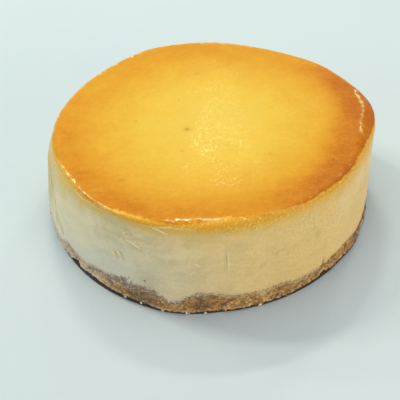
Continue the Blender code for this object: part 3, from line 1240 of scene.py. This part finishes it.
def floor_finish(studio):
    f = Finish("pale_floor")
    cloud = f.rise(f.noise(0.12, 3), -0.5, 0.5)
    deeper = tuple(0.985 * part for part in studio.floor)
    return f.surface({
        "Base Color": f.mix(cloud, studio.floor, deeper),
        "Roughness": 0.9 + 0.05 * f.noise(0.03, 2),
        "Normal": f.bump(0.03 * f.noise(1.5 * MM, 2)),
    })


# ---------------------------------------------------------------------------
# The studio
# ---------------------------------------------------------------------------

FLOOR_SIZE = 14.0
STUDIO_SCALE = 2.4  # how many times further off and larger the softboxes are than their figures
AIM = (-0.00616, -0.00468, 0.0)


# Small softboxes that the creases mirror: (name, azimuth, elevation, size, share)
HIGHLIGHTS = (
    ("front", 99, 53, (0.18, 0.05), 1.7),
    ("left_high", 148, 52, (0.10, 0.10), 1.5),
    ("left_middle", 157, 42, (0.10, 0.10), 1.4),
    ("left_low", 148, 34, (0.10, 0.10), 0.9),
    ("right", 68, 32, (0.13, 0.11), 1.0),
)
HIGHLIGHT_COLOUR = (1.0, 0.94, 0.70)


def direction(azimuth, elevation):
    """A unit vector towards an azimuth and elevation in degrees."""
    flat = math.cos(math.radians(elevation))
    angle = math.radians(azimuth)
    return Vector((flat * math.cos(angle), flat * math.sin(angle), math.sin(math.radians(elevation))))


def aim(item, target):
    item.rotation_euler = (Vector(target) - item.location).to_track_quat("-Z", "Y").to_euler()


def add_softbox(name, azimuth, elevation, distance, size, power, colour):
    lamp = bpy.data.lights.new(name, "AREA")
    lamp.shape = "ELLIPSE"
    lamp.size, lamp.size_y = (STUDIO_SCALE * side for side in size)
    lamp.energy = STUDIO_SCALE**2 * power
    lamp.color = colour
    softbox = bpy.data.objects.new(name, lamp)
    softbox.location = direction(azimuth, elevation) * distance * STUDIO_SCALE
    softbox.visible_camera = False
    bpy.context.scene.collection.objects.link(softbox)
    aim(softbox, (0, 0, 0.04))
    return softbox


def add_camera(studio):
    lens = bpy.data.cameras.new("camera")
    lens.lens = studio.lens
    lens.sensor_width = 36
    camera = bpy.data.objects.new("camera", lens)
    away = direction(270, math.degrees(studio.camera_elevation)) * studio.camera_distance
    camera.location = Vector(AIM) + away
    bpy.context.scene.collection.objects.link(camera)
    aim(camera, AIM)
    bpy.context.scene.camera = camera


def add_floor(studio):
    half = FLOOR_SIZE / 2
    mesh = bpy.data.meshes.new("floor")
    corners = [(-half, -half, 0), (half, -half, 0), (half, half, 0), (-half, half, 0)]
    mesh.from_pydata(corners, [], [(0, 1, 2, 3)])
    mesh.materials.append(floor_finish(studio))
    floor = bpy.data.objects.new("floor", mesh)
    bpy.context.scene.collection.objects.link(floor)


def add_sky(studio):
    sky = bpy.data.worlds.new("studio")
    sky.use_nodes = True
    background = sky.node_tree.nodes["Background"]
    background.inputs["Color"].default_value = (*studio.sky, 1)
    background.inputs["Strength"].default_value = studio.sky_strength
    bpy.context.scene.world = sky
    bpy.context.scene.view_settings.view_transform = "Standard"


# ---------------------------------------------------------------------------
# Sizes and colours that a user would change
# ---------------------------------------------------------------------------


def colour_property(name, default, description):
    return FloatVectorProperty(
        name=name, description=description, subtype="COLOR", size=3, min=0, max=1, default=default
    )


def length_property(name, default, description):
    return FloatProperty(
        name=name, description=description, default=default, min=0, unit="LENGTH", precision=5
    )


def share_property(name, default, description):
    return FloatProperty(
        name=name, description=description, default=default, min=0, max=1, subtype="FACTOR"
    )


def power_property(name, default, description):
    return FloatProperty(
        name=name, description=description, default=default, min=0, unit="POWER"
    )


class CakeSizes(bpy.types.PropertyGroup):
    """Depths and sizes of the fine forms."""

    skin_lip: length_property("Skin lip", 0.26 * MM, "How far the skin's lower edge stands proud")
    skin_relief: length_property("Skin relief", 0.16 * MM, "Depth of the swells on the top")
    smear_depth: length_property("Smear depth", 0.30 * MM, "Depth of the smears on the side")
    crumb_depth: length_property("Crumb depth", 0.48 * MM, "How far the base's crumbs stand out")
    crumb_size: length_property("Crumb size", 1.5 * MM, "Size of the base's coarser crumbs")
    loose_crumbs: IntProperty(
        name="Loose crumbs", description="How many crumbs are half loose", default=420, min=1
    )
    crease_width: length_property("Crease width", 1.10 * MM, "Half width of the creases in the skin")
    bead_size: length_property("Bead size", 1.0 * MM, "Largest width of the beads of glaze")


class SkinLooks(bpy.types.PropertyGroup):
    """Colours and gloss of the browned top."""

    pale: colour_property("Pale", (0.765, 0.55, 0.088), "The middle of the top")
    straw: colour_property("Straw", (0.775, 0.51, 0.054), "Half way out")
    golden: colour_property("Golden", (0.735, 0.40, 0.028), "Where the top begins to brown")
    toasted: colour_property("Toasted", (0.665, 0.285, 0.014), "The brown band inside the rim")
    brown: colour_property("Brown", (0.565, 0.185, 0.006), "The deeper band on the right")
    dark: colour_property("Dark", (0.45, 0.115, 0.004), "The darkest browning")
    pit: colour_property("Pit", (0.55, 0.30, 0.02), "The pits of the top")
    amber: colour_property("Amber", (0.78, 0.415, 0.040), "Glaze that has run over the rim")
    clear: colour_property("Clear", (0.98, 0.75, 0.21), "Glaze at its palest")
    hem: colour_property("Hem", (0.93, 0.71, 0.30), "The pale line along the skin's lower edge")
    seam: colour_property("Seam", (0.36, 0.20, 0.04), "The line under the skin's lower edge")
    roughness: share_property("Roughness", 0.44, "How dull the skin is")
    speckle: share_property("Speckle", 0.40, "How glossy the specks of the skin are")


class FillingLooks(bpy.types.PropertyGroup):
    """Colours of the cream side."""

    cream: colour_property("Cream", (0.74, 0.62, 0.36), "The side's main colour")
    smear_light: colour_property("Light smear", (0.84, 0.75, 0.50), "Fresh smears")
    smear_dark: colour_property("Dark smear", (0.55, 0.47, 0.26), "Hollows between smears")
    # Warm cream is painted warm light on the right of the side.
    warm: colour_property("Warm cream", (0.80, 0.58, 0.23), "The yellower cream on the right")
    # Cool cream is painted cool light low on the left of the side.
    cool: colour_property("Cool cream", (0.74, 0.71, 0.60), "The greyer cream low on the left")
    # Partly painted highlight: the paler colour stands in for the gloss on the crests.
    ridge_and_painted_highlight: colour_property("Ridge", (0.90, 0.80, 0.51), "Ridges that the spatula raised")
    stain: colour_property("Stain", (0.74, 0.47, 0.10), "Cream soaked with butter under the skin")
    shade: colour_property("Shade", (0.50, 0.42, 0.23), "Small hollows of the side")
    grain: colour_property("Grain", (0.90, 0.76, 0.44), "Specks where the side is grainy")
    spot: colour_property("Spot", (0.60, 0.46, 0.14), "Yellower spots of the side")
    smudged: colour_property("Smudged", (0.54, 0.43, 0.33), "Cream that crumb has smudged")
    crumbed: colour_property("Crumbed", (0.235, 0.165, 0.115), "Cream dirtied by the base's crumbs")
    roughness: share_property("Roughness", 0.46, "How dull the side is")
    translucency: share_property("Translucency", 0.25, "How much light passes through the cheese")


class BaseLooks(bpy.types.PropertyGroup):
    """Colours of the biscuit crumb."""

    # The darkest crumbs' own colour, and also the painted shade in the creases between crumbs.
    burnt_and_crease_shade: colour_property("Burnt", (0.13, 0.070, 0.032), "Creases and the darkest crumbs")
    brown: colour_property("Brown", (0.36, 0.19, 0.065), "Dark crumbs")
    biscuit: colour_property("Biscuit", (0.565, 0.31, 0.085), "Most crumbs")
    pale: colour_property("Pale", (0.74, 0.56, 0.30), "Light crumbs")
    dark: colour_property("Dark", (0.19, 0.110, 0.060), "Where the base is darker")
    grey: colour_property("Grey", (0.84, 0.62, 0.44), "Where cream has greyed the base")
    smeared: colour_property("Smeared", (0.62, 0.50, 0.28), "Crumb with cream rubbed over it")
    lip: colour_property("Lip", (0.72, 0.58, 0.42), "The pale lower edge")
    fleck: colour_property("Fleck", (0.88, 0.78, 0.62), "The palest crumbs")
    # Painted shadow under the lower edge, not a colour of the crumb.
    gap: colour_property("Gap", (0.050, 0.026, 0.012), "The dark gap under the lower edge")


class StudioLooks(bpy.types.PropertyGroup):
    """The light, the floor and the camera."""

    floor: colour_property("Floor", (0.585, 0.695, 0.785), "The floor")
    sky: colour_property("Sky", (0.92, 0.98, 1.0), "Light from all round")
    sky_strength: FloatProperty(
        name="Sky strength", description="How bright the light from all round is", default=0.44
    )
    key: power_property("Key", 3.35, "Power of the soft light overhead")
    warm: power_property("Warm", 2.2, "Power of the low warm light on the right")
    cool: power_property("Cool", 0.5, "Power of the low cool light on the left")
    highlights: power_property("Highlights", 1.0, "Power of the small lights that the top mirrors")
    lens: FloatProperty(
        name="Lens", description="Focal length", default=73.35, min=1, unit="CAMERA"
    )
    camera_distance: FloatProperty(
        name="Distance", description="From the camera to its aim", default=0.5256, unit="LENGTH"
    )
    camera_elevation: FloatProperty(
        name="Elevation",
        description="Height of the camera as an angle over the floor",
        default=math.radians(42.25),
        unit="ROTATION",
    )


GROUPS = {
    "cake_sizes": CakeSizes,
    "cake_skin": SkinLooks,
    "cake_filling": FillingLooks,
    "cake_base": BaseLooks,
    "cake_studio": StudioLooks,
}


# ---------------------------------------------------------------------------
# Operators
# ---------------------------------------------------------------------------


class CAKE_OT_filling(bpy.types.Operator):
    """Make the cheese filling with its browned skin"""

    bl_idname = "cake.filling"
    bl_label = "Filling and Skin"

    def execute(self, context):
        scene = context.scene
        material = cheese_finish(scene.cake_skin, scene.cake_filling)
        mesh = make_filling(scene.cake_sizes)
        place_piece("baked_filling", mesh, material, "cheese_filling", "cheese_filling")
        return {"FINISHED"}


class CAKE_OT_ridges(bpy.types.Operator):
    """Raise the spatula's ridges on the side"""

    bl_idname = "cake.ridges"
    bl_label = "Cream Ridges"

    def execute(self, context):
        material = ridge_finish(context.scene.cake_filling)
        place_piece("cream_ridges", make_ridges(), material, "cheese_filling")
        return {"FINISHED"}


class CAKE_OT_base(bpy.types.Operator):
    """Make the pressed biscuit base"""

    bl_idname = "cake.base"
    bl_label = "Crumb Base"

    def execute(self, context):
        mesh = make_base(context.scene.cake_sizes)
        material = biscuit_finish(context.scene.cake_base)
        place_piece("biscuit_base", mesh, material, "crumb_base", "crumb_base")
        return {"FINISHED"}


class CAKE_OT_crumbs(bpy.types.Operator):
    """Scatter the half loose crumbs on the base"""

    bl_idname = "cake.crumbs"
    bl_label = "Loose Crumbs"

    def execute(self, context):
        mesh = make_crumbs(context.scene.cake_sizes)
        material = biscuit_finish(context.scene.cake_base, "loose_crumb")
        place_piece("loose_crumbs", mesh, material, "crumb_base")
        return {"FINISHED"}


class CAKE_OT_beads(bpy.types.Operator):
    """Set beads of glaze along the lower edge of the skin"""

    bl_idname = "cake.beads"
    bl_label = "Glaze Beads"

    def execute(self, context):
        mesh = make_beads(context.scene.cake_sizes)
        place_piece("glaze_beads", mesh, glaze_finish(context.scene.cake_skin), "cheese_filling")
        return {"FINISHED"}


class CAKE_OT_studio(bpy.types.Operator):
    """Make the floor, the lights and the camera"""

    bl_idname = "cake.studio"
    bl_label = "Studio"

    def execute(self, context):
        studio = context.scene.cake_studio
        add_floor(studio)
        add_sky(studio)
        add_softbox("key", 90, 80, 1.2, (1.2, 1.0), studio.key, (1, 0.98, 0.95))
        add_softbox("warm", 320, 16, 0.8, (0.6, 0.3), studio.warm, (1, 0.72, 0.38))
        add_softbox("cool", 215, 24, 0.9, (0.5, 0.4), studio.cool, (0.86, 0.96, 1))
        sheen = 0.25 * studio.highlights
        add_softbox("sheen", 89.6, 37.8, 1.0, (0.06, 0.11), sheen, (1, 0.86, 0.42))
        for name, azimuth, elevation, size, share in HIGHLIGHTS:
            add_softbox(name, azimuth, elevation, 1.0, size, share * studio.highlights, HIGHLIGHT_COLOUR)
        add_camera(studio)
        return {"FINISHED"}


OPERATORS = (
    CAKE_OT_filling,
    CAKE_OT_ridges,
    CAKE_OT_base,
    CAKE_OT_crumbs,
    CAKE_OT_beads,
    CAKE_OT_studio,
)


class CAKE_PT_panel(bpy.types.Panel):
    """Lists the cake's pieces and settings"""

    bl_label = "Baked Cheesecake"
    bl_idname = "CAKE_PT_panel"
    bl_space_type = "VIEW_3D"
    bl_region_type = "UI"
    bl_category = "Cheesecake"

    def draw(self, context):
        for operator in OPERATORS:
            self.layout.operator(operator.bl_idname)
        for label in GROUPS:
            group = getattr(context.scene, label)
            box = self.layout.box()
            for name in group.__annotations__:
                box.prop(group, name)


CLASSES = (*GROUPS.values(), *OPERATORS, CAKE_PT_panel)


def register():
    for cls in CLASSES:
        bpy.utils.register_class(cls)
    for label, group in GROUPS.items():
        setattr(bpy.types.Scene, label, PointerProperty(type=group))


def unregister():
    for label in GROUPS:
        delattr(bpy.types.Scene, label)
    for cls in reversed(CLASSES):
        bpy.utils.unregister_class(cls)


def main():
    register()
    bpy.ops.cake.filling()
    bpy.ops.cake.ridges()
    bpy.ops.cake.base()
    bpy.ops.cake.crumbs()
    bpy.ops.cake.beads()
    bpy.ops.cake.studio()


if __name__ == "__main__":
    main()
